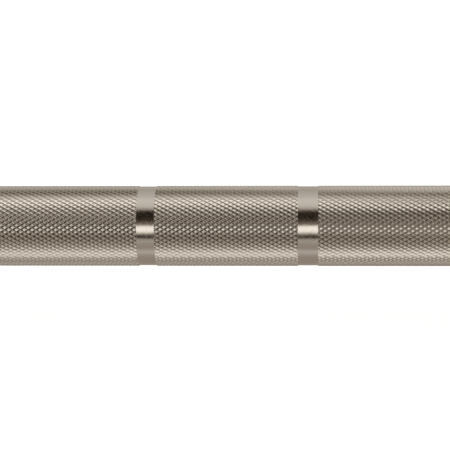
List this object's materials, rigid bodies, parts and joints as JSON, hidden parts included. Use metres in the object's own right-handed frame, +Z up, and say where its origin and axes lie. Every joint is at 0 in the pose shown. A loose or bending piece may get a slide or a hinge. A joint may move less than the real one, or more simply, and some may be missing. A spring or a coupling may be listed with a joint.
{
  "type": "barbell",
  "caption": "Women's weightlifting barbell: knurled steel shaft with ring marks and a free-turning sleeve with a shoulder collar at each end.",
  "frame": {"origin": "middle of the bar, on its axis", "axes": "+X along the bar towards the right sleeve, +Z up"},
  "size_m": [2.01, 0.076, 0.076],
  "materials": {
    "shaft_nickel": "bright warm-grey nickel over diamond knurling, satin on the smooth marks",
    "sleeve_chrome": "bright chrome with faint turning marks and wear from plates",
    "collar_chrome": "bright chrome, turned faces",
    "bushing_bronze": "oiled sintered bronze",
    "washer_steel": "ground steel",
    "ring_steel": "phosphated spring steel, dark grey",
    "cap_aluminium": "turned aluminium",
    "seal_rubber": "matt black rubber"
  },
  "bodies": {
    "shaft": {"shaft": "shaft_nickel", "right_inner_thrust_washer": "washer_steel", "right_outer_thrust_washer": "washer_steel", "right_shaft_snap_ring": "ring_steel", "left_inner_thrust_washer": "washer_steel", "left_outer_thrust_washer": "washer_steel", "left_shaft_snap_ring": "ring_steel"},
    "right_sleeve": {"right_sleeve_tube": "sleeve_chrome", "right_collar": "collar_chrome", "right_dust_seal": "seal_rubber", "right_inner_bushing": "bushing_bronze", "right_outer_bushing": "bushing_bronze", "right_bushing_retaining_ring": "ring_steel", "right_end_cap": "cap_aluminium", "right_cap_retaining_ring": "ring_steel"},
    "left_sleeve": {"left_sleeve_tube": "sleeve_chrome", "left_collar": "collar_chrome", "left_dust_seal": "seal_rubber", "left_inner_bushing": "bushing_bronze", "left_outer_bushing": "bushing_bronze", "left_bushing_retaining_ring": "ring_steel", "left_end_cap": "cap_aluminium", "left_cap_retaining_ring": "ring_steel"}
  },
  "joints": [
    {"name": "right_sleeve_spin", "type": "hinge", "parent": "shaft", "child": "right_sleeve", "pos_m": [0.83, 0, 0], "axis": [1, 0, 0], "continuous": true},
    {"name": "left_sleeve_spin", "type": "hinge", "parent": "shaft", "child": "left_sleeve", "pos_m": [-0.83, 0, 0], "axis": [1, 0, 0], "continuous": true}
  ]
}
